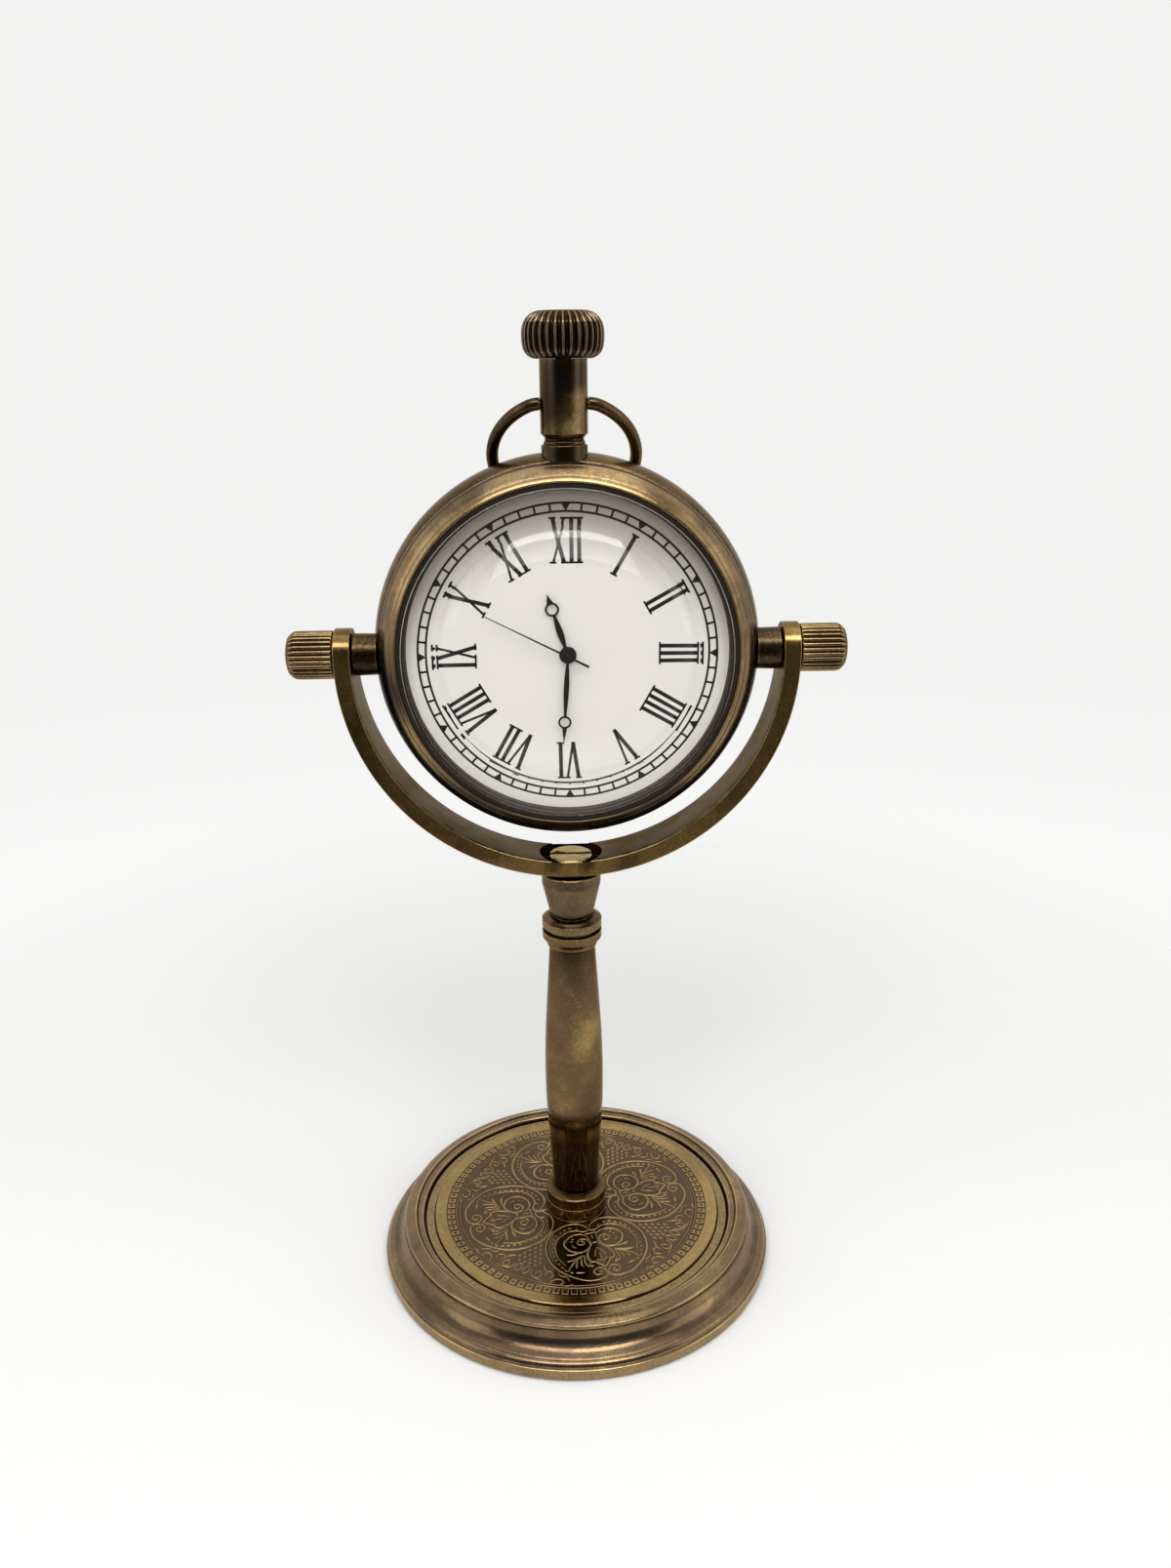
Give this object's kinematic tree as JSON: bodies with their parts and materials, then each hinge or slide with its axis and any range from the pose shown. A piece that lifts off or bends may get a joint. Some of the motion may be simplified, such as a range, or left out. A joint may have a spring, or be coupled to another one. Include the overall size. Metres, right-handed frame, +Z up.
{
  "type": "desk clock",
  "caption": "Antique brass desk clock shaped like a pocket watch, tilting between thumb screws in a half-ring yoke on a turned column and round etched base.",
  "frame": {"origin": "middle of the felt pad's underside, on the table", "axes": "+Z up along the column; the dial faces -Y; +X to the right when the dial is read"},
  "size_m": [0.0728, 0.058, 0.1338],
  "materials": {
    "brass_case": "antique brass, polished and lacquered over brown patina",
    "brass_stand": "antique brass, turned, lacquered over brown patina",
    "brass_plate": "etched antique brass, glossy lacquer over a dark ground",
    "brass_bright": "bright machined brass",
    "glass_crystal": "clear, domed, polished",
    "rubber_gasket": "black, satin",
    "paint_dial": "warm white enamel paint, smooth satin",
    "flange_grey": "grey-brown, satin",
    "paint_black": "black, semi-gloss",
    "plastic_ring": "white moulded",
    "felt": "dark green felt",
    "steel_plain": "zinc plated, satin",
    "steel_polished": "fine ground",
    "cell_steel": "nickel plated, satin",
    "copper_coil": "enamelled copper winding",
    "board_green": "green solder mask"
  },
  "bodies": {
    "stand": {"felt_pad": "felt", "base_body": "brass_stand", "base_plate": "brass_plate", "base_stud": "steel_plain", "base_washer": "steel_plain", "base_nut": "steel_plain", "foot_collar": "brass_stand", "column": "brass_stand", "yoke_cup": "brass_stand", "yoke": "brass_stand", "yoke_screw": "brass_bright"},
    "watch": {"left_case_boss": "brass_case", "right_case_boss": "brass_case", "case_band": "brass_case", "bezel": "brass_case", "crystal": "glass_crystal", "crystal_gasket": "rubber_gasket", "dial_flange": "flange_grey", "dial": "paint_dial", "movement_ring": "plastic_ring", "back_cover": "brass_case", "pendant_ring": "brass_case", "pendant_neck": "brass_case", "main_plate": "brass_bright", "train_bridge": "steel_polished", "movement_screws": "steel_polished", "battery": "cell_steel", "coil": "copper_coil", "stator": "steel_plain", "circuit_board": "board_green"},
    "left_thumb": {"left_thumb_screw": "brass_stand"},
    "right_thumb": {"right_thumb_screw": "brass_stand"},
    "bow_ring": {"bow": "brass_case"},
    "pinion_sleeve": {"setting_pinion": "steel_polished"},
    "crown_and_stem": {"crown": "brass_case", "setting_stem": "steel_polished"},
    "second_works": {"second_hand": "paint_black", "seconds_wheel": "brass_bright"},
    "minute_works": {"minute_hand": "paint_black", "centre_wheel": "brass_bright"},
    "hour_works": {"hour_hand": "paint_black", "hour_wheel": "brass_bright"},
    "third_arbor": {"third_wheel": "brass_bright"},
    "minute_wheel_arbor": {"minute_wheel": "brass_bright"},
    "intermediate_arbor": {"intermediate_wheel": "brass_bright"},
    "rotor_arbor": {"rotor": "steel_polished"}
  },
  "joints": [
    {"name": "watch_tilt", "type": "hinge", "parent": "stand", "child": "watch", "pos_m": [0, 0, 0.0923], "axis": [1, 0, 0], "range_deg": [-161, 163]},
    {"name": "left_thumb_turn", "type": "hinge", "parent": "watch", "child": "left_thumb", "pos_m": [0, 0, 0.0923], "axis": [1, 0, 0], "range_deg": [0, 360]},
    {"name": "right_thumb_turn", "type": "hinge", "parent": "watch", "child": "right_thumb", "pos_m": [0, 0, 0.0923], "axis": [1, 0, 0], "range_deg": [0, 360]},
    {"name": "bow_swing", "type": "hinge", "parent": "watch", "child": "bow_ring", "pos_m": [0, 0, 0.12309], "axis": [1, 0, 0], "range_deg": [0, 283]},
    {"name": "crown_turn", "type": "hinge", "parent": "watch", "child": "pinion_sleeve", "pos_m": [0, 0, 0.0923], "axis": [0, 0, 1], "continuous": true},
    {"name": "crown_pull", "type": "slide", "parent": "pinion_sleeve", "child": "crown_and_stem", "axis": [0, 0, 1], "range_m": [0, 0.001]},
    {"name": "seconds", "type": "hinge", "parent": "watch", "child": "second_works", "pos_m": [0, 0, 0.0923], "axis": [0, 1, 0], "continuous": true},
    {"name": "minutes", "type": "hinge", "parent": "watch", "child": "minute_works", "pos_m": [0, 0, 0.0923], "axis": [0, 1, 0], "continuous": true},
    {"name": "hours", "type": "hinge", "parent": "watch", "child": "hour_works", "pos_m": [0, 0, 0.0923], "axis": [0, 1, 0], "continuous": true},
    {"name": "third_turn", "type": "hinge", "parent": "watch", "child": "third_arbor", "pos_m": [-0.00129, 0, 0.09453], "axis": [0, 1, 0], "continuous": true},
    {"name": "minute_wheel_turn", "type": "hinge", "parent": "watch", "child": "minute_wheel_arbor", "pos_m": [0.00121, 0, 0.0944], "axis": [0, 1, 0], "continuous": true},
    {"name": "intermediate_turn", "type": "hinge", "parent": "watch", "child": "intermediate_arbor", "pos_m": [0.00205, 0, 0.09058], "axis": [0, 1, 0], "continuous": true},
    {"name": "rotor_turn", "type": "hinge", "parent": "watch", "child": "rotor_arbor", "pos_m": [0.00368, 0, 0.08921], "axis": [0, 1, 0], "continuous": true}
  ],
  "couplings": [
    {"joint": "minutes", "follows": "seconds", "ratio": 0.016667},
    {"joint": "hours", "follows": "seconds", "ratio": 0.0013889},
    {"joint": "third_turn", "follows": "seconds", "ratio": -0.13333},
    {"joint": "minute_wheel_turn", "follows": "seconds", "ratio": -0.0055556},
    {"joint": "intermediate_turn", "follows": "seconds", "ratio": -5},
    {"joint": "rotor_turn", "follows": "seconds", "ratio": 30}
  ]
}
